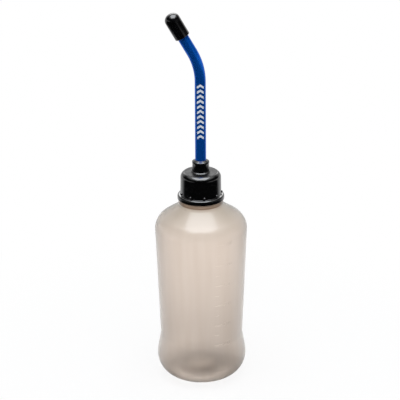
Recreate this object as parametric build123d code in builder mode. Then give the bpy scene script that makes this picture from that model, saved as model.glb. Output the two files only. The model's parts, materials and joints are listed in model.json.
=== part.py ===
"""Squeeze bottle for filling model-engine fuel tanks: a translucent moulded bottle with a screw cap,
a bent metal spout held in a rubber bush, and a rubber cap on the spout's tip.

Millimetres, +Z up along the bottle's axis, origin at the centre of the ring that it stands on.
The spout bends towards -X, and the front of the bottle faces -Y.
"""

import os
from math import cos, hypot, radians, sin, tan

from build123d import *

# Bottle body
wall = 1.2
waist_radius = 38.4
waist_height = 41.8
waist_round = 14.0
heel_flare = 10.4
heel_round = 22.0
shoulder_radius = 42.8
shoulder_height = 156.2
shoulder_round = 14.6
stand_ring_width = 2.4
push_up_height = 5.0

# Bottle neck
collar_radius = 19.9
collar_above_shoulder = 15.2
collar_foot_round = 3.0
collar_length = 5.6
bead_reach = 0.7
bead_height = 2.6
bead_round = 0.3
neck_radius = 14.9
neck_wall = 2.0
neck_length = 21.8
rim_round = 0.5

# Screw thread
thread_pitch = 4.0
thread_reach = 1.1
thread_root_width = 1.8
thread_crest_width = 0.8
thread_bury = 0.6
thread_clearance = 0.4
neck_thread_turns = 1.5
neck_thread_below_rim = 12.0
cap_thread_turns = 1.25

# Moulded scale on the bottle
mark_above_waist = 2.0
mark_below_shoulder = 10.0
mark_step = 20.4
mark_width = 0.8
mark_relief = 0.35
mark_azimuth = -72.0
mark_long_arc = 11.0
mark_short_arc = 6.0

# Screw cap
liner_thickness = 1.2
liner_side_gap = 0.2
cap_top_thickness = 3.5
cap_dome_drop = 0.3
cap_skirt_wall = 2.1
cap_skirt_draft = 0.8
cap_edge_round = 5.0
cap_inner_round = 0.8
flange_reach = 2.7
flange_wall = 2.0
flange_height = 4.2
flange_slope_height = 0.4
flange_edge_round = 1.8
flange_foot_round = 0.4
flange_gap = 0.4
nib_count = 9
nib_radius = 1.1
nib_lift = 1.6
nib_azimuth = 280.0

# Spout tube
tube_radius = 5.0
tube_wall = 1.0
tube_rise = 85.9
tube_bend_radius = 56.0
tube_bend_angle = 29.8
tube_nose_length = 34.1
tube_edge_round = 0.3
tube_stop_reach = 1.0
tube_stop_height = 2.2
tube_stop_round = 0.5
tube_stop_gap = 0.2
tube_tail_length = 4.0

# Rubber bush that holds the tube in the cap
bush_clearance = 0.06
bush_neck_wall = 1.6
bush_fit_gap = 0.05
bush_foot_reach = 2.3
bush_foot_edge_height = 0.25
bush_foot_height = 0.9
bush_body_reach = 1.34
bush_waist_reach = 0.94
bush_body_height = 7.0
bush_lip_reach = 1.19
bush_lip_height = 2.2
bush_dome_height = 1.5
bush_lip_round = 0.6
bush_flange_reach = 2.34
bush_flange_height = 2.0
bush_flange_round = 0.4

# Rubber cap on the tip
tip_clearance = 0.08
tip_wall = 1.92
tip_socket_depth = 19.5
tip_end_thickness = 4.1
tip_end_gap = 1.5
tip_end_round = 6.0
tip_rim_round = 0.6

# Heights and radii that follow
overrun = 1.0
heel_corner_radius = waist_radius + waist_height * tan(radians(heel_flare))
heel_contact_radius = heel_corner_radius - heel_round / tan(radians(90 - heel_flare) / 2)
stand_ring_radius = heel_contact_radius - stand_ring_width
collar_foot_height = shoulder_height + collar_above_shoulder
collar_top = collar_foot_height + collar_length
rim_height = collar_top + neck_length
ceiling_height = rim_height + liner_thickness
cap_top = ceiling_height + cap_top_thickness
cap_edge_height = cap_top - cap_dome_drop
flange_bottom = collar_top + flange_gap
flange_top = flange_bottom + flange_height
skirt_foot = flange_top + flange_slope_height
thread_crest_radius = neck_radius + thread_reach
skirt_inner_radius = thread_crest_radius + thread_clearance
skirt_top_radius = skirt_inner_radius + cap_skirt_wall
skirt_foot_radius = skirt_top_radius + (cap_edge_height - skirt_foot) * tan(radians(cap_skirt_draft))
flange_radius = skirt_foot_radius + flange_reach
bush_bore_radius = tube_radius + bush_clearance
bush_neck_radius = bush_bore_radius + bush_neck_wall
bush_hole_radius = bush_neck_radius + bush_fit_gap
dome_centre_depth = ((skirt_top_radius**2 - bush_hole_radius**2) / cap_dome_drop + cap_dome_drop) / 2
dome_radius = hypot(bush_hole_radius, dome_centre_depth)
bush_foot_radius = bush_neck_radius + bush_foot_reach
bush_body_radius = bush_neck_radius + bush_body_reach
bush_waist_radius = bush_neck_radius + bush_waist_reach
bush_lip_radius = bush_neck_radius + bush_lip_reach
bush_flange_radius = bush_neck_radius + bush_flange_reach
bush_bottom = ceiling_height - bush_flange_height
bush_foot_top = cap_top + bush_foot_height
bush_body_top = bush_foot_top + bush_body_height
bush_lip_top = bush_body_top + bush_lip_height
bush_top = bush_lip_top + bush_dome_height
tube_stop_top = bush_bottom - tube_stop_gap
tube_bottom = tube_stop_top - tube_tail_length
bend_start = cap_top + tube_rise
tip_bottom = tip_end_gap - tip_socket_depth
tip_top = tip_end_gap + tip_end_thickness
tip_bore_radius = tube_radius + tip_clearance
tip_radius = tip_bore_radius + tip_wall
wall_taper = (shoulder_radius - waist_radius) / (shoulder_height - waist_height)
mark_first_height = waist_height + mark_above_waist
mark_last_height = shoulder_height - mark_below_shoulder
mark_count = int(2 * (mark_last_height - mark_first_height) / mark_step) + 1

os.makedirs("parts", exist_ok=True)


def body_outline():
    """The bottle's full outline below its neck: straight lines with rounded corners over a dished base."""
    heel_corner = (heel_corner_radius, 0)
    waist = (waist_radius, waist_height)
    shoulder = (shoulder_radius, shoulder_height)
    collar_foot = (collar_radius, collar_foot_height)
    with BuildSketch(Plane.XZ) as outline:
        with BuildLine():
            dish = ThreePointArc((-stand_ring_radius, 0), (0, push_up_height), (stand_ring_radius, 0))
            right_side = Polyline(
                dish @ 1, heel_corner, waist, shoulder,
                collar_foot, (collar_radius, collar_top), (0, collar_top)
            )
            mirror(right_side, about=Plane.YZ)
        make_face()
        rounds = ((heel_corner, heel_round), (waist, waist_round), (shoulder, shoulder_round),
                  (collar_foot, collar_foot_round))
        for (reach, height), size in rounds:
            for side in (reach, -reach):
                fillet(outline.vertices().sort_by_distance((side, height))[0], radius=size)
    return outline.sketch


def helical_ridge(root_radius, crest_radius, turns, start_height):
    """A screw thread's ridge, from its root radius to its crest radius, turning right-handed up from +X."""
    with BuildPart() as ridge:
        with BuildLine():
            Helix(thread_pitch, thread_pitch * turns, root_radius, center=(0, 0, start_height))
        with BuildSketch(Plane.XZ):
            with BuildLine():
                Polyline(
                    (root_radius, start_height - thread_root_width / 2),
                    (crest_radius, start_height - thread_crest_width / 2),
                    (crest_radius, start_height + thread_crest_width / 2),
                    (root_radius, start_height + thread_root_width / 2),
                    close=True,
                )
            make_face()
        sweep(is_frenet=True)
    return ridge.part


body_section = body_outline()
neck_thread_start = rim_height - neck_thread_below_rim
neck_thread = helical_ridge(
    neck_radius - thread_bury, thread_crest_radius, neck_thread_turns, neck_thread_start
)
cap_thread = helical_ridge(
    skirt_inner_radius + thread_bury,
    skirt_inner_radius - thread_reach,
    cap_thread_turns,
    neck_thread_start - thread_pitch / 2,
)

# Bottle: one blow-moulded shell with a threaded neck, a dished base and a moulded scale
with BuildPart() as bottle:
    with BuildSketch(Plane.XZ):
        add(body_section)
        split(bisect_by=Plane.YZ)
    revolve(axis=Axis.Z)
    with Locations((0, 0, collar_top)):
        Cylinder(neck_radius, neck_length, align=(Align.CENTER, Align.CENTER, Align.MIN))
    fillet(bottle.edges().group_by(Axis.Z)[-1], radius=rim_round)
    add(neck_thread)
    with BuildSketch(Plane.XZ):
        with Locations((collar_radius, collar_top)):
            bead = Rectangle(2 * bead_reach, bead_height, align=(Align.CENTER, Align.MAX))
        fillet(bead.vertices().group_by(Axis.X)[-1], radius=bead_round)
    revolve(axis=Axis.Z)
    turn = radians(mark_azimuth)
    mark_plane = Plane((0, 0, 0), x_dir=(cos(turn), sin(turn), 0), z_dir=(sin(turn), -cos(turn), 0))
    for number in range(mark_count):
        height = mark_first_height + number * mark_step / 2
        wall_radius = waist_radius + (height - waist_height) * wall_taper
        with BuildSketch(mark_plane):
            with Locations((wall_radius, height)):
                Rectangle(2 * mark_relief, mark_width)
        revolve(axis=Axis.Z, revolution_arc=mark_short_arc if number % 2 else mark_long_arc)
    with BuildSketch(Plane.XZ):
        add(body_section)
        offset(amount=-wall, mode=Mode.REPLACE)
        split(bisect_by=Plane.YZ)
    revolve(axis=Axis.Z, mode=Mode.SUBTRACT)
    with Locations((0, 0, collar_foot_height)):
        Cylinder(
            neck_radius - neck_wall, rim_height - collar_foot_height + overrun,
            align=(Align.CENTER, Align.CENTER, Align.MIN), mode=Mode.SUBTRACT,
        )
bottle.part.label = "bottle"
export_step(bottle.part, "parts/bottle.step")

# Screw cap: a threaded skirt under a domed top that is holed for the bush, with a hollow flange and nibs
with BuildPart() as screw_cap:
    with BuildSketch(Plane.XZ) as cap_section:
        with BuildLine():
            dome = RadiusArc((bush_hole_radius, cap_top), (skirt_top_radius, cap_edge_height), dome_radius)
            Polyline(
                dome @ 1,
                (skirt_foot_radius, skirt_foot),
                (flange_radius, flange_top),
                (flange_radius, flange_bottom),
                (flange_radius - flange_wall, flange_bottom),
                (flange_radius - flange_wall, flange_top - flange_wall),
                (skirt_inner_radius, skirt_foot - flange_wall),
                (skirt_inner_radius, ceiling_height),
                (bush_hole_radius, ceiling_height),
                dome @ 0,
            )
        make_face()
        rounds = (
            ((skirt_top_radius, cap_edge_height), cap_edge_round),
            ((flange_radius, flange_top), flange_edge_round),
            ((flange_radius, flange_bottom), flange_foot_round),
            ((skirt_foot_radius, skirt_foot), flange_foot_round),
            ((skirt_inner_radius, ceiling_height), cap_inner_round),
        )
        for corner, size in rounds:
            fillet(cap_section.vertices().sort_by_distance(corner)[0], radius=size)
    revolve(axis=Axis.Z)
    add(cap_thread)
    with Locations((0, 0, skirt_foot + nib_lift)):
        with PolarLocations(skirt_foot_radius, nib_count, start_angle=nib_azimuth):
            Sphere(nib_radius)
screw_cap.part.label = "screw_cap"
export_step(screw_cap.part, "parts/screw_cap.step")

# Sealing ring between the neck's rim and the top of the cap
with BuildPart() as cap_liner:
    with BuildSketch(Plane.XY.offset(rim_height)):
        Circle(skirt_inner_radius - cap_inner_round - liner_side_gap)
        Circle(bush_flange_radius + liner_side_gap, mode=Mode.SUBTRACT)
    extrude(amount=liner_thickness)
cap_liner.part.label = "cap_liner"
export_step(cap_liner.part, "parts/cap_liner.step")

# Rubber bush: a spool gripping the cap between its sloped foot and a flange, with a domed lip round the tube
with BuildPart() as spout_bush:
    with BuildSketch(Plane.XZ) as bush_section:
        with BuildLine():
            Polyline(
                (bush_bore_radius, bush_bottom),
                (bush_flange_radius, bush_bottom),
                (bush_flange_radius, ceiling_height),
                (bush_neck_radius, ceiling_height),
                (bush_neck_radius, cap_top),
                (bush_foot_radius, cap_top),
                (bush_foot_radius, cap_top + bush_foot_edge_height),
                (bush_body_radius, bush_foot_top),
                (bush_waist_radius, bush_body_top),
                (bush_lip_radius, bush_body_top + bush_lip_round),
                (bush_lip_radius, bush_lip_top),
                (bush_bore_radius, bush_top),
                close=True,
            )
        make_face()
        rounds = (
            ((bush_lip_radius, bush_lip_top), bush_lip_round),
            ((bush_flange_radius, bush_bottom), bush_flange_round),
        )
        for corner, size in rounds:
            fillet(bush_section.vertices().sort_by_distance(corner)[0], radius=size)
    revolve(axis=Axis.Z)
spout_bush.part.label = "spout_bush"
export_step(spout_bush.part, "parts/spout_bush.step")

# Spout: one bent tube, with a stop ring below the bush
with BuildPart() as filler_tube:
    with BuildLine(Plane.XZ) as tube_line:
        stem = Line((0, tube_bottom), (0, bend_start))
        bend = JernArc(stem @ 1, stem % 1, tube_bend_radius, tube_bend_angle)
        nose = PolarLine(bend @ 1, tube_nose_length, direction=bend % 1)
    with BuildSketch(Plane.XY.offset(tube_bottom)):
        Circle(tube_radius)
        Circle(tube_radius - tube_wall, mode=Mode.SUBTRACT)
    sweep()
    nose_end = tube_line.line @ 1
    nose_direction = tube_line.line % 1
    fillet(filler_tube.faces().sort_by_distance(nose_end)[0].edges(), radius=tube_edge_round)
    fillet(filler_tube.edges().group_by(Axis.Z)[0], radius=tube_edge_round)
    with BuildSketch(Plane.XZ):
        with Locations((tube_radius + tube_stop_reach, tube_stop_top)):
            stop = Rectangle(tube_stop_reach + tube_wall / 2, tube_stop_height, align=(Align.MAX, Align.MAX))
        fillet(stop.vertices().group_by(Axis.X)[-1], radius=tube_stop_round)
    revolve(axis=Axis.Z)
filler_tube.part.label = "filler_tube"
export_step(filler_tube.part, "parts/filler_tube.step")

# Rubber cap pushed over the tube's end
tip_plane = Plane(nose_end, x_dir=(nose_direction.Z, 0, -nose_direction.X), z_dir=(0, -1, 0))
with BuildPart() as tip_cap:
    with BuildSketch(tip_plane) as tip_section:
        with BuildLine():
            Polyline(
                (0, tip_top),
                (tip_radius, tip_top),
                (tip_radius, tip_bottom),
                (tip_bore_radius, tip_bottom),
                (tip_bore_radius, tip_end_gap),
                (0, tip_end_gap),
                close=True,
            )
        make_face()
        rounds = (
            ((tip_radius, tip_top), tip_end_round),
            ((tip_radius, tip_bottom), tip_rim_round),
            ((tip_bore_radius, tip_bottom), tip_rim_round),
        )
        for corner, size in rounds:
            fillet(tip_section.vertices().sort_by_distance(corner)[0], radius=size)
    revolve(axis=Axis(nose_end, nose_direction))
tip_cap.part.label = "tip_cap"
export_step(tip_cap.part, "parts/tip_cap.step")
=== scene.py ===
"""Looks of a fuel filler bottle: a smoky bottle, a black cap, bush and tip cap, and a blue metal spout.

Shapes are worked out in millimetres and made in metres, in the frame of the solids. The front faces -Y.
"""

import json
from math import asin, atan, cos, hypot, pi, radians, sin, tan

import bmesh
import bpy
from mathutils import Matrix, Vector

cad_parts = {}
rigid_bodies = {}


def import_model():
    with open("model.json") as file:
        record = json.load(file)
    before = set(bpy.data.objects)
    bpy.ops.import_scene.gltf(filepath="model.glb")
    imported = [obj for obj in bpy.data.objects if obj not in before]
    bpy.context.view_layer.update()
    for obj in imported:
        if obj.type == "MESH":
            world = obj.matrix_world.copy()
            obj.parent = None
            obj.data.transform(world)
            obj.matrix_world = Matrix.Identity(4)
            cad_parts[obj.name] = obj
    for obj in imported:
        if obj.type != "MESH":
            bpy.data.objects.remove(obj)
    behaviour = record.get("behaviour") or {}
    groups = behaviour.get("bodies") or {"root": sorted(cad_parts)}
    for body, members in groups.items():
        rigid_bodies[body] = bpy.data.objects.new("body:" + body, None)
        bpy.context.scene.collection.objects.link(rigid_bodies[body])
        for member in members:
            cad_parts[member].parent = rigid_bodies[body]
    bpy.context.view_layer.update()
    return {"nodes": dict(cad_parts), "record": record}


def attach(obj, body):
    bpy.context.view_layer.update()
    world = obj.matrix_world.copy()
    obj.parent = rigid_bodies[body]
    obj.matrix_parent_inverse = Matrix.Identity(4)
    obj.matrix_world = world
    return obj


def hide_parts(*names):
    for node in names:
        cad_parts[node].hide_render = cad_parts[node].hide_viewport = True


# Blender's start-up objects go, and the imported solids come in
for thing in list(bpy.data.objects):
    bpy.data.objects.remove(thing)
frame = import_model()
record = frame["record"]
BODY_OF = {node: body for body, held in record["behaviour"]["bodies"].items() for node in held}

MM = 0.001
UP = (0, 0, 1)
AXIS_FOOT = (0, 0, 0)

# How finely round shapes are divided
TURN_STEPS = 160
ROUND_STEP = radians(7)
LEAST_ROUND_STEPS = 3
MERGE_DISTANCE = 1e-3
SHARP_ANGLE = radians(40)

# Bottle, with its main corners as (radius, height, round)
WALL = 1.2
WAIST = (38.4, 41.8, 14.0)
SHOULDER = (42.8, 156.2, 14.6)
COLLAR_FOOT = (19.9, 171.4, 3.0)
HEEL_FLARE = radians(10.4)
HEEL_ROUND = 22.0
STAND_RING_WIDTH = 2.4
STAND_RING_ROUND = 1.6
PUSH_UP = 5.0
COLLAR_TOP = 177.0
BEAD_REACH = 0.7
BEAD_HEIGHT = 2.6
BEAD_ROUND = 0.45
NECK_RADIUS = 14.9
NECK_WALL = 2.0
NECK_ROUND = 0.5
RIM_HEIGHT = 198.8

# Screw thread
THREAD_PITCH = 4.0
THREAD_REACH = 1.1
THREAD_ROOT_WIDTH = 1.8
THREAD_CREST_WIDTH = 0.8
THREAD_BURY = 0.6
THREAD_STEPS_A_TURN = 96
NECK_THREAD_TURNS = 1.5
NECK_THREAD_BELOW_RIM = 12.0
CAP_THREAD_TURNS = 1.25

# Moulded scale
MARK_FIRST_HEIGHT = 43.8
LONG_MARK_STEP = 20.4
MARK_COUNT = 11
MARK_WIDTH = 0.8
MARK_RELIEF = 0.25
MARK_AZIMUTH = radians(-72.0)
MARK_LONG_ARC = radians(11.0)
MARK_SHORT_ARC = radians(6.0)
MARK_ARC_STEPS = 10
FIRST_VOLUME = 200
VOLUME_STEP = 100
NUMERAL_AZIMUTH = radians(-59.0)
NUMERAL_SIZE = 5.6
NUMERAL_RELIEF = 0.2
NUMERAL_CURVE_STEPS = 4

# Screw cap
CEILING = 200.0
CAP_TOP = 203.5
CAP_DOME_DROP = 0.3
SKIRT_INNER_RADIUS = 16.4
SKIRT_WALL = 2.1
SKIRT_DRAFT = radians(0.8)
SKIRT_FOOT = 182.0
CAP_EDGE_ROUND = 5.0
CAP_INNER_ROUND = 0.8
FLANGE_REACH = 2.7
FLANGE_WALL = 2.0
FLANGE_BOTTOM = 177.4
FLANGE_TOP = 181.6
FLANGE_EDGE_ROUND = 1.8
FLANGE_FOOT_ROUND = 0.4
NIB_COUNT = 9
NIB_RADIUS = 1.3
NIB_HEIGHT = 183.6
NIB_AZIMUTH = radians(280.0)
NIB_SEGMENTS = 24
NIB_RINGS = 14
BUSH_HOLE_RADIUS = 6.71

# Rubber bush
BUSH_BORE_RADIUS = 5.06
BUSH_NECK_RADIUS = 6.66
BUSH_FLANGE_RADIUS = 9.0
BUSH_BOTTOM = 198.0
BUSH_FOOT_RADIUS = 8.96
BUSH_FOOT_EDGE = 203.75
BUSH_FOOT_TOP = 204.4
BUSH_BODY_RADIUS = 8.0
BUSH_WAIST_RADIUS = 7.6
BUSH_BODY_TOP = 211.4
BUSH_LIP_RADIUS = 7.85
BUSH_LIP_TOP = 213.6
BUSH_TOP = 215.1
BUSH_ROUND = 0.4
BUSH_FOOT_ROUND = 0.12
BUSH_LIP_ROUND = 0.6

# Spout
TUBE_RADIUS = 5.0
TUBE_WALL = 1.0
TUBE_BOTTOM = 193.8
TUBE_SEGMENTS = 64
BEND_START = 289.4
BEND_RADIUS = 56.0
BEND_ANGLE = radians(29.8)
BEND_STEPS = 24
NOSE_LENGTH = 34.1
TUBE_EDGE_ROUND = 0.3
STOP_RADIUS = 6.0
STOP_BOTTOM = 195.6
STOP_TOP = 197.8
STOP_ROUND = 0.5

# Tip cap, along the spout's end
TIP_RADIUS = 7.0
TIP_BORE_RADIUS = 5.08
TIP_BOTTOM = -18.0
TIP_SOCKET_END = 1.5
TIP_TOP = 5.6
TIP_END_ROUND = 6.0
TIP_RIM_ROUND = 0.6

# Finishes, with lengths in metres, as shaders measure them
NOISE_BAND = (0.3, 0.7)
# Painted shade on the upper shoulder grows through these heights
SHOULDER_SHADE_HEIGHTS = (146 * MM, 170 * MM)
GLOSS_HEIGHTS = (138 * MM, 158 * MM)
GLOSS_LEVELS = (0.2, 0.55)
# Painted shade in the crease under the bead: its height, and how far it reaches either side
CREASE_HEIGHT = 173.9 * MM
CREASE_SHADE_REACH = (0.4 * MM, 1.0 * MM)
# Heights where the collar turns darker, from thicker plastic and from painted shade under the cap's flange
COLLAR_HEIGHTS = (CREASE_HEIGHT - 0.7 * MM, CREASE_HEIGHT)
BOTTLE_ROUGHNESS = (0.29, 0.34)
BOTTLE_WAVE_SHARE = 0.8
BOTTLE_GRAIN_SHARE = 0.04
BOTTLE_BUMP_DEPTH = 0.6 * MM
CAP_TEXTURE_HEIGHTS = ((CAP_TOP - 0.6) * MM, (CAP_TOP - 0.3) * MM)
CAP_WORN_BAND = (0.55, 0.8)
CAP_SCUFF_BAND = (0.4, 0.7)
CAP_ROUGHNESS = (0.15, 0.24)
CAP_TEXTURE_ROUGHNESS = 0.25
CAP_SKIRT_GRAIN_SHARE = 0.15
CAP_BUMP_DEPTH = 0.12 * MM
RUBBER_DUST_BAND = (0.5, 0.85)
RUBBER_ROUGHNESS_SPREAD = 0.1
RUBBER_BUMP_DEPTH = 0.15 * MM
BUSH_ROUGHNESS = 0.24
TIP_ROUGHNESS = 0.15
TUBE_ROUGHNESS = (0.26, 0.36)
TUBE_METAL_SHARE = 0.75
TUBE_BUMP_DEPTH = 0.1 * MM
LINER_BUMP_DEPTH = 0.2 * MM

# Arrows printed on the spout, in metres. The first height is that of the lowest arrow's inner point.
ARROW_COUNT = 11
ARROW_PITCH = 4.8 * MM
ARROW_STROKE_SHARE = 0.46
ARROW_SLOPE = 0.75
ARROW_HALF_WIDTH = 3.0 * MM
ARROW_FIRST_HEIGHT = 238.3 * MM
ARROW_ROUGHNESS = 0.15

# Floor, in metres: a reach is from the bottle's axis, a depth is behind it, and across is to the right
FLOOR_HALF_WIDTH = 6.0
SHADOW_REACH = (0.05, 0.35)
SHADOW_WHITE = 0.88
# Painted reflection: reflections see the floor white behind, brighter in a patch beside the bottle, and dark
# in front
BESIDE_REACH = (0.28, 0.42)
BESIDE_DEPTH = (-0.05, 0.05)
BEHIND_DEPTH = (0.1, 0.45)
BESIDE_GAIN = 0.6
REFLECTION_LOSS = 0.4
# Painted shadow and painted light on the floor, which only rays through the bottle see
BASE_SHADE_DEPTH = -0.003
BASE_SHADE_REACH = (0.0, 0.075)
BASE_SHADE_LEVELS = (-0.06, 0.72)
FAR_REACH = (0.075, 0.28)
FAR_RISE = 0.29
FRONT_DEPTH = (-0.02, 0.004)
FRONT_REACH = (0.022, 0.04)
FRONT_RISE = 0.66
TILT_ACROSS = (-0.03, 0.03)
TILT_REACH = (0.06, 0.2)
TILT_LEVELS = (0.08, -0.02)
WHITE = (1.0, 1.0, 1.0, 1.0)
PAPER = (0.8, 0.8, 0.8, 1.0)
# Painted dark reflection of the paper in front
PAINTED_DARK_REFLECTION = (0.012, 0.012, 0.012, 1.0)

# Studio round the floor, where a band is a range of one part of a unit direction
REAR_DEEP = (0.4, 0.75)
REAR_TOP = (0.5, 0.75)
REAR_LEVEL = 0.5
PANEL_FOOT = (0.24, 0.36)
PANEL_EDGE = (0.25, 0.45)
PANEL_LEVEL = 2.6
SIDE_ACROSS = (0.5, 0.85)
SIDE_FOOT = (-0.2, 0.0)
SIDE_TOP = (0.05, 0.2)
SIDE_LEVEL = 0.7
OVERHEAD_EDGE = (0.6, 0.85)
DARK_LEVEL = 0.01
BACKDROP_DEEP = (-0.7, 0.2)
BACKDROP_LEVELS = (1.0, 1.32)
FILL_LEVEL = 0.4

# Lamp, in metres
LAMP_WIDTH = 1.1
LAMP_PLACE = (0.0, -0.2, 1.35)
LAMP_RADIANCE = 4.6
LAMP_TINT = (0.94, 0.98, 1.03)

# Camera, in metres and in pixels of the photograph
CAMERA_DISTANCE = 1.6
CAMERA_ELEVATION = radians(22.0)
CAMERA_ROLL = radians(-0.33)
CAMERA_SIDEWAYS = -0.0008
AIM_HEIGHT = 0.1752
FOCAL_PIXELS = 1740.0
IMAGE_PIXELS = 400.0
SENSOR_WIDTH = 36.0


class Field:
    """A value or colour inside a material. Operators on it add Math nodes."""

    def __init__(self, finish, socket):
        self.finish = finish
        self.socket = socket

    def math(self, operation, *values):
        return self.finish.node("ShaderNodeMath", {"operation": operation}, dict(enumerate(values)))

    def __add__(self, other):
        return self.math("ADD", self, other)

    __radd__ = __add__

    def __sub__(self, other):
        return self.math("SUBTRACT", self, other)

    def __rsub__(self, other):
        return self.math("SUBTRACT", other, self)

    def __mul__(self, other):
        return self.math("MULTIPLY", self, other)

    __rmul__ = __mul__

    def __gt__(self, other):
        return self.math("GREATER_THAN", self, other)

    def __lt__(self, other):
        return self.math("LESS_THAN", self, other)

    def __abs__(self):
        return self.math("ABSOLUTE", self)

    def __mod__(self, other):
        return self.math("FLOORED_MODULO", self, other)

    def at_most(self, other):
        return self.math("MINIMUM", self, other)

    def at_least(self, other):
        return self.math("MAXIMUM", self, other)

    def ramp(self, band, start=0.0, end=1.0):
        """Eases from start to end as the value goes through a band of (low, high)."""
        low, high = band
        return self.finish.node(
            "ShaderNodeMapRange", {"interpolation_type": "SMOOTHSTEP"},
            {"Value": self, "From Min": low, "From Max": high, "To Min": start, "To Max": end},
        )


class Finish:
    """A set of shader nodes, in a new material or in the world."""

    def __init__(self, name, owner=None):
        self.owner = owner or bpy.data.materials.new(name)
        self.owner.use_nodes = True
        self.tree = self.owner.node_tree
        self.tree.nodes.clear()
        self.output = self.tree.nodes.new("ShaderNodeOutputWorld" if owner else "ShaderNodeOutputMaterial")
        self.place = self.node("ShaderNodeTexCoord", out="Generated" if owner else "Object")

    def node(self, kind, settings=None, sockets=None, out=0):
        """Adds a node: its settings first, then the values or links of its sockets."""
        made = self.tree.nodes.new(kind)
        for key, value in (settings or {}).items():
            setattr(made, key, value)
        for key, value in (sockets or {}).items():
            if isinstance(value, Field):
                self.tree.links.new(value.socket, made.inputs[key])
            else:
                made.inputs[key].default_value = value
        return Field(self, made.outputs[out])

    def shade(self, shader):
        """Puts a shader on the surface and gives back the finished material or world."""
        self.tree.links.new(shader.socket, self.output.inputs["Surface"])
        return self.owner

    def principled(self, **sockets):
        named = {key.replace("_", " "): value for key, value in sockets.items()}
        return self.node("ShaderNodeBsdfPrincipled", None, named, out="BSDF")

    def outputs(self, field):
        """Every output of the node that a field comes from."""
        return {socket.name: Field(self, socket) for socket in field.socket.node.outputs}

    def axes(self):
        """How far right, deep and high a point is, or the parts of a direction in the world."""
        split = self.outputs(self.node("ShaderNodeSeparateXYZ", None, {"Vector": self.place}))
        return split["X"], split["Y"], split["Z"]

    def length(self, across, deep):
        flat = self.node("ShaderNodeCombineXYZ", None, {"X": across, "Y": deep})
        return self.node("ShaderNodeVectorMath", {"operation": "LENGTH"}, {0: flat}, out="Value")

    def noise(self, scale, detail=2.0, stretch=(1, 1, 1)):
        """A soft random field from 0 to 1, finer with a larger scale and drawn out by a small stretch."""
        place = self.node("ShaderNodeMapping", None, {"Vector": self.place, "Scale": stretch})
        sockets = {"Vector": place, "Scale": scale, "Detail": detail}
        return self.node("ShaderNodeTexNoise", None, sockets, out="Fac")

    def mix(self, share, first, second):
        """Goes from the first colour to the second as the share goes from 0 to 1.

        The node has sockets for every type of value: 6 and 7 are its two colours, and output 2 is the result.
        """
        return self.node("ShaderNodeMix", {"data_type": "RGBA"}, {0: share, 6: first, 7: second}, out=2)

    def bump(self, height, strength, depth):
        sockets = {"Height": height, "Strength": strength, "Distance": depth}
        return self.node("ShaderNodeBump", None, sockets, out="Normal")

    def light_path(self):
        return self.outputs(self.node("ShaderNodeLightPath"))


def rgb(red, green, blue):
    """A colour as it shows on screen, 0 to 255, as the linear colour that the shaders take."""
    shown = [level / 255 for level in (red, green, blue)]
    linear = [s / 12.92 if s <= 0.04045 else ((s + 0.055) / 1.055) ** 2.4 for s in shown]
    return (*linear, 1.0)


# Colours of the finishes
BOTTLE_WALL = rgb(243, 234, 226)
BOTTLE_STREAK = rgb(249, 241, 234)
# Painted shade of the upper shoulder
BOTTLE_SHOULDER_SHADE = rgb(212, 205, 195)
# Collar darker from thicker plastic and from painted shade
BOTTLE_THICK_SHADED_COLLAR = rgb(186, 168, 153)
# Painted shade in the crease under the bead
BOTTLE_CREASE_SHADE = rgb(136, 112, 94)
BLACK = rgb(2, 2, 3)
WORN_PLASTIC = rgb(9, 9, 10)
DUSTY_RUBBER = rgb(10, 10, 11)
DEEP_BLUE = rgb(0, 105, 224)
BRIGHT_BLUE = rgb(8, 117, 238)
PRINT_WHITE = rgb(225, 229, 234)
FOAM_PIT = rgb(208, 208, 203)
FOAM_TOP = rgb(230, 230, 226)


def bottle_plastic():
    """Smoky translucent plastic: it blurs what is behind it, and has more gloss on the shoulder. Its colour
    holds painted shade on the upper shoulder and in the crease under the bead, and a collar that is darker
    from thicker plastic and from painted shade.
    """
    finish = Finish("bottle_plastic")
    *_, up = finish.axes()
    cloud = finish.noise(scale=28.0, detail=3.0)
    grain = finish.noise(scale=1400.0)
    wave = finish.noise(scale=38.0, detail=1.0, stretch=(1, 1, 0.35))
    streak = finish.noise(scale=150.0, stretch=(1, 1, 0.06))
    wall = finish.mix(streak.ramp(NOISE_BAND), BOTTLE_WALL, BOTTLE_STREAK)
    # Painted shade: the upper shoulder is darker, where less light comes through the wall.
    shaded_shoulder = finish.mix(up.ramp(SHOULDER_SHADE_HEIGHTS), wall, BOTTLE_SHOULDER_SHADE)
    # The collar is darker from thicker plastic and from painted shade under the cap's flange.
    thick_shaded_collar = finish.mix(up.ramp(COLLAR_HEIGHTS), shaded_shoulder, BOTTLE_THICK_SHADED_COLLAR)
    # Painted shade in the crease under the bead.
    crease_shade = abs(up - CREASE_HEIGHT).ramp(CREASE_SHADE_REACH, 1.0, 0.0)
    relief = wave * BOTTLE_WAVE_SHARE + grain * BOTTLE_GRAIN_SHARE
    return finish.shade(finish.principled(
        Base_Color=finish.mix(crease_shade, thick_shaded_collar, BOTTLE_CREASE_SHADE),
        Roughness=cloud.ramp(NOISE_BAND, *BOTTLE_ROUGHNESS),
        IOR=1.4,
        Transmission_Weight=1.0,
        Coat_Weight=up.ramp(GLOSS_HEIGHTS, *GLOSS_LEVELS),
        Coat_Roughness=0.12,
        Normal=finish.bump(relief, strength=0.4, depth=BOTTLE_BUMP_DEPTH),
    ))


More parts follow.
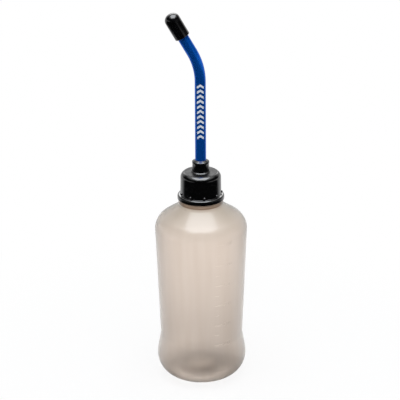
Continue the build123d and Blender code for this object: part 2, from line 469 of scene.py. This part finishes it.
def cap_plastic():
    """Black moulded plastic: a glossy skirt, and a finely textured top."""
    finish = Finish("cap_plastic")
    *_, up = finish.axes()
    grain = finish.noise(scale=1600.0, detail=3.0)
    scuff = finish.noise(scale=120.0, detail=6.0, stretch=(1, 1, 3))
    top = up.ramp(CAP_TEXTURE_HEIGHTS)
    relief = grain * (CAP_SKIRT_GRAIN_SHARE + (1 - CAP_SKIRT_GRAIN_SHARE) * top)
    return finish.shade(finish.principled(
        Base_Color=finish.mix(scuff.ramp(CAP_WORN_BAND), BLACK, WORN_PLASTIC),
        Roughness=scuff.ramp(CAP_SCUFF_BAND, *CAP_ROUGHNESS) + top * CAP_TEXTURE_ROUGHNESS,
        IOR=1.5,
        Coat_Weight=1.0 - top,
        Coat_Roughness=0.08,
        Normal=finish.bump(relief, strength=0.25, depth=CAP_BUMP_DEPTH),
    ))


def black_rubber(name, roughness):
    """Black moulded rubber with a fine grain, a little dust and a soft gloss."""
    finish = Finish(name)
    grain = finish.noise(scale=1500.0, detail=3.0)
    dust = finish.noise(scale=260.0, detail=5.0)
    return finish.shade(finish.principled(
        Base_Color=finish.mix(dust.ramp(RUBBER_DUST_BAND), BLACK, DUSTY_RUBBER),
        Roughness=dust.ramp(NOISE_BAND, roughness, roughness + RUBBER_ROUGHNESS_SPREAD),
        IOR=1.5,
        Coat_Weight=0.8,
        Coat_Roughness=0.1,
        Normal=finish.bump(grain, strength=0.12, depth=RUBBER_BUMP_DEPTH),
    ))


def tube_metal():
    """Blue anodised metal, drawn lengthwise, with a row of printed arrows up the front."""
    finish = Finish("tube_metal")
    across, deep, up = finish.axes()
    drawn = finish.noise(scale=700.0, detail=4.0, stretch=(1, 1, 0.03))
    tone = finish.noise(scale=60.0)
    blue = finish.mix(tone, DEEP_BLUE, BRIGHT_BLUE)
    climb = up + abs(across) * ARROW_SLOPE - ARROW_FIRST_HEIGHT
    stroke = (climb % ARROW_PITCH) < ARROW_STROKE_SHARE * ARROW_PITCH
    row = (climb > 0) * (climb < ARROW_COUNT * ARROW_PITCH)
    front = (abs(across) < ARROW_HALF_WIDTH) * (deep < 0)
    printed = stroke * row * front
    return finish.shade(finish.principled(
        Base_Color=finish.mix(printed, blue, PRINT_WHITE),
        Metallic=TUBE_METAL_SHARE * (1 - printed),
        Roughness=drawn.ramp(NOISE_BAND, *TUBE_ROUGHNESS) + printed * ARROW_ROUGHNESS,
        Normal=finish.bump(drawn, strength=0.12, depth=TUBE_BUMP_DEPTH),
    ))


def liner_foam():
    """Pressed pale foam with fine cells."""
    finish = Finish("liner_foam")
    cells = finish.noise(scale=1100.0, detail=3.0)
    return finish.shade(finish.principled(
        Base_Color=finish.mix(cells, FOAM_PIT, FOAM_TOP),
        Roughness=0.75,
        Normal=finish.bump(cells, strength=0.4, depth=LINER_BUMP_DEPTH),
    ))


def outline(shape, corners, closed=False):
    """Draws a line through (radius, height, round) corners in the XZ plane, and rounds them."""
    spots = [shape.verts.new((reach, 0, height)) for reach, height, _ in corners]
    ends = spots[1:] + spots[:1] if closed else spots[1:]
    for start, end in zip(spots, ends):
        shape.edges.new((start, end))
    for spot, (_, _, size) in zip(spots, corners):
        if size:
            before, after = (edge.other_vert(spot).co - spot.co for edge in spot.link_edges)
            turn = pi - before.angle(after)
            steps = max(LEAST_ROUND_STEPS, round(turn / ROUND_STEP))
            bmesh.ops.bevel(
                shape, geom=[spot], offset=size * tan(turn / 2), offset_type="OFFSET", segments=steps,
                profile=0.5, affect="VERTICES", material=-1, clamp_overlap=True,
            )


def turned(corners, closed=False):
    """A shape of revolution about the Z axis."""
    shape = bmesh.new()
    outline(shape, corners, closed)
    bmesh.ops.spin(
        shape, geom=shape.verts[:] + shape.edges[:], cent=AXIS_FOOT, axis=UP, angle=2 * pi, steps=TURN_STEPS,
        use_merge=True,
    )
    bmesh.ops.remove_doubles(shape, verts=shape.verts[:], dist=MERGE_DISTANCE)
    bmesh.ops.recalc_face_normals(shape, faces=shape.faces[:])
    return shape


def as_object(name, shape):
    """An object in the scene with the mesh of a shape, which is freed."""
    mesh = bpy.data.meshes.new(name)
    shape.to_mesh(mesh)
    shape.free()
    made = bpy.data.objects.new(name, mesh)
    bpy.context.scene.collection.objects.link(made)
    return made


def mesh_of(made):
    """An object's mesh with its modifiers applied. The object is removed."""
    mesh = bpy.data.meshes.new_from_object(made.evaluated_get(bpy.context.evaluated_depsgraph_get()))
    bpy.data.objects.remove(made)
    return mesh


def fused(shape, details):
    """One closed surface from a shape and the raised details on it, with nothing left inside."""
    whole = as_object("whole", shape)
    added = as_object("details", details)
    join = whole.modifiers.new("join", "BOOLEAN")
    join.operation = "UNION"
    join.solver = "EXACT"
    join.object = added
    joined = bmesh.new()
    joined.from_mesh(mesh_of(whole))
    bmesh.ops.remove_doubles(joined, verts=joined.verts[:], dist=MERGE_DISTANCE)
    bpy.data.objects.remove(added)
    return joined


def swept_face(shape, corners, azimuth, angle, steps, climb=0.0):
    """Adds a closed ridge: a section of (radius, height) corners, turned about Z and climbing as it goes."""
    first = len(shape.faces)
    face = shape.faces.new([shape.verts.new((reach, 0, height)) for reach, height in corners])
    bmesh.ops.rotate(shape, verts=face.verts[:], cent=AXIS_FOOT, matrix=Matrix.Rotation(azimuth, 3, "Z"))
    bmesh.ops.spin(
        shape, geom=[face], cent=AXIS_FOOT, axis=UP, dvec=(0, 0, climb / steps), angle=angle, steps=steps,
    )
    shape.faces.ensure_lookup_table()
    bmesh.ops.recalc_face_normals(shape, faces=shape.faces[first:])


def thread_ridge(shape, root_radius, crest_radius, turns, start_height):
    """Adds a screw thread that climbs from a height, narrower at its crest than at its root."""
    section = (
        (root_radius, start_height - THREAD_ROOT_WIDTH / 2),
        (crest_radius, start_height - THREAD_CREST_WIDTH / 2),
        (crest_radius, start_height + THREAD_CREST_WIDTH / 2),
        (root_radius, start_height + THREAD_ROOT_WIDTH / 2),
    )
    steps = round(THREAD_STEPS_A_TURN * turns)
    swept_face(shape, section, 0.0, 2 * pi * turns, steps, THREAD_PITCH * turns)


def inset(corners, depth):
    """The corners of a line moved to its left by a depth, with rounds to match, without its two ends."""
    moved = []
    for before, corner, after in zip(corners, corners[1:], corners[2:]):
        start, middle, end = (Vector(spot[:2]) for spot in (before, corner, after))
        first = (middle - start).normalized().orthogonal()
        second = (end - middle).normalized().orthogonal()
        spot = middle + (first + second) * depth / (1 + first.dot(second))
        turns_left = first.cross(second) > 0
        size = corner[2] - depth if turns_left else corner[2] + depth
        moved.append((spot.x, spot.y, size))
    return moved


def wall_radius(height):
    """The bottle's radius between its waist and its shoulder."""
    taper = (SHOULDER[0] - WAIST[0]) / (SHOULDER[1] - WAIST[1])
    return WAIST[0] + (height - WAIST[1]) * taper


def add_numeral(shape, words, height):
    """Adds raised figures on the bottle's wall, to the right of a mark."""
    curve = bpy.data.curves.new("figures", "FONT")
    curve.body = words
    curve.size = NUMERAL_SIZE
    curve.extrude = NUMERAL_RELIEF
    curve.align_y = "CENTER"
    curve.resolution_u = NUMERAL_CURVE_STEPS
    holder = bpy.data.objects.new("figures", curve)
    bpy.context.scene.collection.objects.link(holder)
    figures = mesh_of(holder)
    for vertex in figures.vertices:
        right, above, out = vertex.co
        reach = wall_radius(height + above) + out
        azimuth = NUMERAL_AZIMUTH + right / wall_radius(height)
        vertex.co = (reach * cos(azimuth), reach * sin(azimuth), height + above)
    shape.from_mesh(figures)


def add_scale(shape):
    """Adds the marks up the bottle's wall, long and short by turns, with figures beside the long ones."""
    for number in range(MARK_COUNT):
        is_long = number % 2 == 0
        height = MARK_FIRST_HEIGHT + number * LONG_MARK_STEP / 2
        low, high = height - MARK_WIDTH / 2, height + MARK_WIDTH / 2
        inner, outer = wall_radius(height) - MARK_RELIEF, wall_radius(height) + MARK_RELIEF
        section = ((inner, low), (outer, low), (outer, high), (inner, high))
        swept_face(shape, section, MARK_AZIMUTH, MARK_LONG_ARC if is_long else MARK_SHORT_ARC, MARK_ARC_STEPS)
        if is_long:
            add_numeral(shape, str(FIRST_VOLUME + VOLUME_STEP * number // 2), height)


def bottle_shape():
    """One blown shell, from its dished base up to its threaded neck, with the raised scale on its wall."""
    heel_radius = WAIST[0] + WAIST[1] * tan(HEEL_FLARE)
    contact_radius = heel_radius - HEEL_ROUND / tan((pi / 2 - HEEL_FLARE) / 2)
    ring_radius = contact_radius - STAND_RING_WIDTH
    dish_slope = 2 * atan(PUSH_UP / ring_radius)
    dish_round = ring_radius / sin(dish_slope) - STAND_RING_ROUND / tan(dish_slope / 2)
    collar_radius = COLLAR_FOOT[0]
    body = [
        (0.0, PUSH_UP, 0.0),
        (ring_radius - PUSH_UP / tan(dish_slope), PUSH_UP, dish_round),
        (ring_radius, 0.0, STAND_RING_ROUND),
        (heel_radius, 0.0, HEEL_ROUND),
        WAIST,
        SHOULDER,
        COLLAR_FOOT,
        (collar_radius, COLLAR_TOP, 0.0),
    ]
    bead_radius = collar_radius + BEAD_REACH
    bore_radius = NECK_RADIUS - NECK_WALL
    neck = [
        (collar_radius, COLLAR_TOP - BEAD_HEIGHT, 0.0),
        (bead_radius, COLLAR_TOP - BEAD_HEIGHT, BEAD_ROUND),
        (bead_radius, COLLAR_TOP, BEAD_ROUND),
        (NECK_RADIUS, COLLAR_TOP, NECK_ROUND),
        (NECK_RADIUS, RIM_HEIGHT, NECK_ROUND),
        (bore_radius, RIM_HEIGHT, NECK_ROUND),
        (bore_radius, COLLAR_TOP - WALL, NECK_ROUND),
        (collar_radius - WALL, COLLAR_TOP - WALL, NECK_ROUND),
    ]
    inside = inset(body, WALL)[::-1]
    shape = turned(body[:-1] + neck + inside + [(0.0, PUSH_UP + WALL, 0.0)])
    thread_start = RIM_HEIGHT - NECK_THREAD_BELOW_RIM
    root_radius = NECK_RADIUS - THREAD_BURY
    crest_radius = NECK_RADIUS + THREAD_REACH
    details = bmesh.new()
    thread_ridge(details, root_radius, crest_radius, NECK_THREAD_TURNS, thread_start)
    add_scale(details)
    return fused(shape, details)


def cap_shape():
    """A domed top with a hole for the bush, a threaded skirt, and a hollow flange with nibs above it."""
    top_radius = SKIRT_INNER_RADIUS + SKIRT_WALL
    edge_height = CAP_TOP - CAP_DOME_DROP
    foot_radius = top_radius + (edge_height - SKIRT_FOOT) * tan(SKIRT_DRAFT)
    flange_radius = foot_radius + FLANGE_REACH
    dome_depth = ((top_radius**2 - BUSH_HOLE_RADIUS**2) / CAP_DOME_DROP + CAP_DOME_DROP) / 2
    dome_radius = hypot(BUSH_HOLE_RADIUS, dome_depth)
    first_slope = asin(BUSH_HOLE_RADIUS / dome_radius)
    half_turn = (asin(top_radius / dome_radius) - first_slope) / 2
    dome_run = dome_radius * tan(half_turn)
    dome_round = (dome_run - CAP_EDGE_ROUND) / tan(half_turn)
    shape = turned([
        (BUSH_HOLE_RADIUS, CAP_TOP, 0.0),
        (BUSH_HOLE_RADIUS + dome_run * cos(first_slope), CAP_TOP - dome_run * sin(first_slope), dome_round),
        (top_radius, edge_height, CAP_EDGE_ROUND),
        (foot_radius, SKIRT_FOOT, FLANGE_FOOT_ROUND),
        (flange_radius, FLANGE_TOP, FLANGE_EDGE_ROUND),
        (flange_radius, FLANGE_BOTTOM, FLANGE_FOOT_ROUND),
        (flange_radius - FLANGE_WALL, FLANGE_BOTTOM, 0.0),
        (flange_radius - FLANGE_WALL, FLANGE_TOP - FLANGE_WALL, 0.0),
        (SKIRT_INNER_RADIUS, SKIRT_FOOT - FLANGE_WALL, 0.0),
        (SKIRT_INNER_RADIUS, CEILING, CAP_INNER_ROUND),
        (BUSH_HOLE_RADIUS, CEILING, 0.0),
    ], closed=True)
    thread_start = RIM_HEIGHT - NECK_THREAD_BELOW_RIM - THREAD_PITCH / 2
    root_radius = SKIRT_INNER_RADIUS + THREAD_BURY
    crest_radius = SKIRT_INNER_RADIUS - THREAD_REACH
    details = bmesh.new()
    thread_ridge(details, root_radius, crest_radius, CAP_THREAD_TURNS, thread_start)
    for number in range(NIB_COUNT):
        azimuth = NIB_AZIMUTH + 2 * pi * number / NIB_COUNT
        place = Matrix.Translation((foot_radius * cos(azimuth), foot_radius * sin(azimuth), NIB_HEIGHT))
        bmesh.ops.create_uvsphere(
            details, u_segments=NIB_SEGMENTS, v_segments=NIB_RINGS, radius=NIB_RADIUS, matrix=place,
        )
    return fused(shape, details)


def bush_shape():
    """A spool that grips the cap between its foot and a flange below, with a domed lip round the tube."""
    return turned([
        (BUSH_BORE_RADIUS, BUSH_BOTTOM, 0.0),
        (BUSH_FLANGE_RADIUS, BUSH_BOTTOM, BUSH_ROUND),
        (BUSH_FLANGE_RADIUS, CEILING, 0.0),
        (BUSH_NECK_RADIUS, CEILING, 0.0),
        (BUSH_NECK_RADIUS, CAP_TOP, 0.0),
        (BUSH_FOOT_RADIUS, CAP_TOP, 0.0),
        (BUSH_FOOT_RADIUS, BUSH_FOOT_EDGE, BUSH_FOOT_ROUND),
        (BUSH_BODY_RADIUS, BUSH_FOOT_TOP, 0.0),
        (BUSH_WAIST_RADIUS, BUSH_BODY_TOP, 0.0),
        (BUSH_LIP_RADIUS, BUSH_BODY_TOP + BUSH_LIP_ROUND, 0.0),
        (BUSH_LIP_RADIUS, BUSH_LIP_TOP, BUSH_LIP_ROUND),
        (BUSH_BORE_RADIUS, BUSH_TOP, 0.0),
    ], closed=True)


def nose_frame():
    """The place and direction of the spout's end."""
    bend_reach = BEND_RADIUS * (1 - cos(BEND_ANGLE)) + NOSE_LENGTH * sin(BEND_ANGLE)
    end_height = BEND_START + BEND_RADIUS * sin(BEND_ANGLE) + NOSE_LENGTH * cos(BEND_ANGLE)
    return Matrix.Translation((-bend_reach, 0, end_height)) @ Matrix.Rotation(-BEND_ANGLE, 4, "Y")


def drawn_out(shape, edges, travel):
    """Pulls a ring of edges along and gives back the new ring."""
    pulled = bmesh.ops.extrude_edge_only(shape, edges=edges)["geom"]
    spots = [part for part in pulled if isinstance(part, bmesh.types.BMVert)]
    bmesh.ops.translate(shape, verts=spots, vec=travel)
    return [part for part in pulled if isinstance(part, bmesh.types.BMEdge)]


def tube_shape():
    """A round tube, bent once, with a stop ring below the bush."""
    shape = bmesh.new()
    foot = Matrix.Translation((0, 0, TUBE_BOTTOM))
    bmesh.ops.create_circle(shape, segments=TUBE_SEGMENTS, radius=TUBE_RADIUS, matrix=foot)
    ring = drawn_out(shape, shape.edges[:], (0, 0, BEND_START - TUBE_BOTTOM))
    bent = bmesh.ops.spin(
        shape, geom=ring, cent=(-BEND_RADIUS, 0, BEND_START), axis=(0, -1, 0), angle=BEND_ANGLE,
        steps=BEND_STEPS,
    )["geom_last"]
    ring = [part for part in bent if isinstance(part, bmesh.types.BMEdge)]
    drawn_out(shape, ring, Vector((-sin(BEND_ANGLE), 0, cos(BEND_ANGLE))) * NOSE_LENGTH)
    bmesh.ops.recalc_face_normals(shape, faces=shape.faces[:])
    bmesh.ops.solidify(shape, geom=shape.faces[:], thickness=TUBE_WALL)
    bmesh.ops.recalc_face_normals(shape, faces=shape.faces[:])
    rims = [edge for edge in shape.edges if edge.calc_face_angle() > SHARP_ANGLE]
    bmesh.ops.bevel(
        shape, geom=rims, offset=TUBE_EDGE_ROUND, offset_type="OFFSET", segments=LEAST_ROUND_STEPS,
        profile=0.5, affect="EDGES", material=-1, clamp_overlap=True,
    )
    middle_radius = TUBE_RADIUS - TUBE_WALL / 2
    stop_ring = turned([
        (middle_radius, STOP_BOTTOM, 0.0),
        (STOP_RADIUS, STOP_BOTTOM, STOP_ROUND),
        (STOP_RADIUS, STOP_TOP, STOP_ROUND),
        (middle_radius, STOP_TOP, 0.0),
    ], closed=True)
    return fused(shape, stop_ring)


def tip_shape():
    """A closed rubber sleeve over the spout's end."""
    shape = turned([
        (0.0, TIP_TOP, 0.0),
        (TIP_RADIUS, TIP_TOP, TIP_END_ROUND),
        (TIP_RADIUS, TIP_BOTTOM, TIP_RIM_ROUND),
        (TIP_BORE_RADIUS, TIP_BOTTOM, TIP_RIM_ROUND),
        (TIP_BORE_RADIUS, TIP_SOCKET_END, 0.0),
        (0.0, TIP_SOCKET_END, 0.0),
    ])
    bmesh.ops.transform(shape, matrix=nose_frame(), verts=shape.verts[:])
    return shape


def piece(name, shape, node, finish):
    """Makes a mesh of a shape in millimetres, which stands for a node and moves with its body."""
    bmesh.ops.scale(shape, vec=(MM, MM, MM), verts=shape.verts[:])
    for face in shape.faces:
        face.smooth = True
    made = as_object(name, shape)
    made.data.set_sharp_from_angle(angle=SHARP_ANGLE)
    made.data.materials.append(finish)
    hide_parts(node)
    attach(made, BODY_OF[node])


def painted_light_through_bottle(finish, across, deep, away):
    """Painted light and shade on the floor, as rays through the bottle see it.

    A painted shadow darkens it under the base, and painted light lifts it at the base's front rim and far
    off, and a little more to the left.
    """
    base = finish.length(across, deep - BASE_SHADE_DEPTH).ramp(BASE_SHADE_REACH, *BASE_SHADE_LEVELS)
    far = away.ramp(FAR_REACH, 0.0, FAR_RISE)
    front = deep.ramp(FRONT_DEPTH, FRONT_RISE, 0.0) * away.ramp(FRONT_REACH, 1.0, 0.0)
    tilt = across.ramp(TILT_ACROSS, *TILT_LEVELS) * away.ramp(TILT_REACH, 1.0, 0.0)
    return (base + far + front + tilt).at_least(0.0)


def floor_finish():
    """White paper with a soft shadow. A painted reflection shows it dark in front, as a studio beyond its
    edge is, and bright in a patch beside the bottle. Rays through the bottle see painted shade and light.
    """
    finish = Finish("floor_white")
    across, deep, _ = finish.axes()
    away = finish.length(across, deep)
    path = finish.light_path()
    # A ray that a rough wall lets through counts as glossy too, so reflections are what is left without it.
    through = path["Is Transmission Ray"]
    reflected = path["Is Glossy Ray"] * (1 - through)
    seen = path["Is Camera Ray"] * away.ramp(SHADOW_REACH, SHADOW_WHITE, 1.0)
    beside = away.ramp(BESIDE_REACH, 1.0, 0.0) * deep.ramp(BESIDE_DEPTH)
    behind = (deep.ramp(BEHIND_DEPTH) + beside).at_most(1.0)
    # Painted shadow and light for rays through the bottle.
    shade = painted_light_through_bottle(finish, across, deep, away)
    # The glow holds the painted shade for rays through the bottle, and a painted reflection, brighter beside
    # the bottle, for reflected rays.
    glow = 1 + through * (shade - 1) + reflected * (BESIDE_GAIN * beside - REFLECTION_LOSS)
    # Painted reflection: the paper is dark to reflections in front.
    paper_and_painted_reflection = finish.mix(reflected * (1 - behind), PAPER, PAINTED_DARK_REFLECTION)
    lit = finish.node("ShaderNodeBsdfDiffuse", None, {"Color": paper_and_painted_reflection})
    white = finish.node("ShaderNodeEmission", None, {"Color": WHITE, "Strength": glow})
    plain = (seen + through + reflected * behind).at_most(1.0)
    return finish.shade(finish.node("ShaderNodeMixShader", None, {0: plain, 1: lit, 2: white}))


def studio_air():
    """White for the camera and through the bottle, and dim for lighting.

    Reflections show a dark room with a lit rear, a bright panel there, pale sides and a pale ceiling.
    """
    finish = Finish("studio", bpy.data.worlds.new("studio"))
    across, deep, up = finish.axes()
    path = finish.light_path()
    # A ray that a rough wall lets through counts as glossy too, so it sees both backdrop and room.
    camera_ray, through, glossy = (path[f"Is {kind} Ray"] for kind in ("Camera", "Transmission", "Glossy"))
    rear = deep.ramp(REAR_DEEP) * up.ramp(REAR_TOP, 1.0, 0.0)
    panel = rear * up.ramp(PANEL_FOOT) * abs(across).ramp(PANEL_EDGE, 1.0, 0.0)
    side = abs(across).ramp(SIDE_ACROSS) * up.ramp(SIDE_FOOT) * up.ramp(SIDE_TOP, 1.0, 0.0)
    overhead = up.ramp(OVERHEAD_EDGE)
    room = DARK_LEVEL + PANEL_LEVEL * panel + REAR_LEVEL * rear + overhead + SIDE_LEVEL * side
    backdrop = deep.ramp(BACKDROP_DEEP, *BACKDROP_LEVELS)
    direct = (camera_ray + through + glossy).at_most(1.0)
    strength = camera_ray + through * backdrop + glossy * room + (1 - direct) * FILL_LEVEL
    return finish.shade(finish.node("ShaderNodeBackground", None, {"Color": WHITE, "Strength": strength}))


def soft_box():
    """A square lamp of an even radiance, above the front of the object and pointing down."""
    lamp = bpy.data.lights.new("top_soft_box", "AREA")
    lamp.shape = "SQUARE"
    lamp.size = LAMP_WIDTH
    lamp.energy = LAMP_RADIANCE * pi * LAMP_WIDTH**2
    lamp.color = LAMP_TINT
    made = bpy.data.objects.new("top_soft_box", lamp)
    made.location = LAMP_PLACE
    made.visible_camera = False
    made.visible_transmission = False
    bpy.context.scene.collection.objects.link(made)


def stage():
    """The floor, the lamp and the studio round them."""
    sheet = bmesh.new()
    bmesh.ops.create_grid(sheet, x_segments=1, y_segments=1, size=FLOOR_HALF_WIDTH)
    floor = as_object("floor", sheet)
    floor.data.materials.append(floor_finish())
    soft_box()
    bpy.context.scene.world = studio_air()
    bpy.context.scene.view_settings.view_transform = "Standard"


def camera():
    """Looks down on the front, as the photograph does, and leans with it."""
    data = bpy.data.cameras.new("camera")
    data.sensor_width = SENSOR_WIDTH
    data.lens = FOCAL_PIXELS / IMAGE_PIXELS * SENSOR_WIDTH
    made = bpy.data.objects.new("camera", data)
    back = CAMERA_DISTANCE * cos(CAMERA_ELEVATION)
    height = AIM_HEIGHT + CAMERA_DISTANCE * sin(CAMERA_ELEVATION)
    place = Matrix.Translation((CAMERA_SIDEWAYS, -back, height))
    tilt = Matrix.Rotation(pi / 2 - CAMERA_ELEVATION, 4, "X")
    made.matrix_world = place @ tilt @ Matrix.Rotation(CAMERA_ROLL, 4, "Z")
    bpy.context.scene.collection.objects.link(made)
    bpy.context.scene.camera = made


piece("bottle_shell", bottle_shape(), "bottle", bottle_plastic())
piece("cap_shell", cap_shape(), "screw_cap", cap_plastic())
piece("bush_spool", bush_shape(), "spout_bush", black_rubber("bush_rubber", BUSH_ROUGHNESS))
piece("spout", tube_shape(), "filler_tube", tube_metal())
piece("tip_sleeve", tip_shape(), "tip_cap", black_rubber("tip_rubber", TIP_ROUGHNESS))
frame["nodes"]["cap_liner"].data.materials[0] = liner_foam()
stage()
camera()
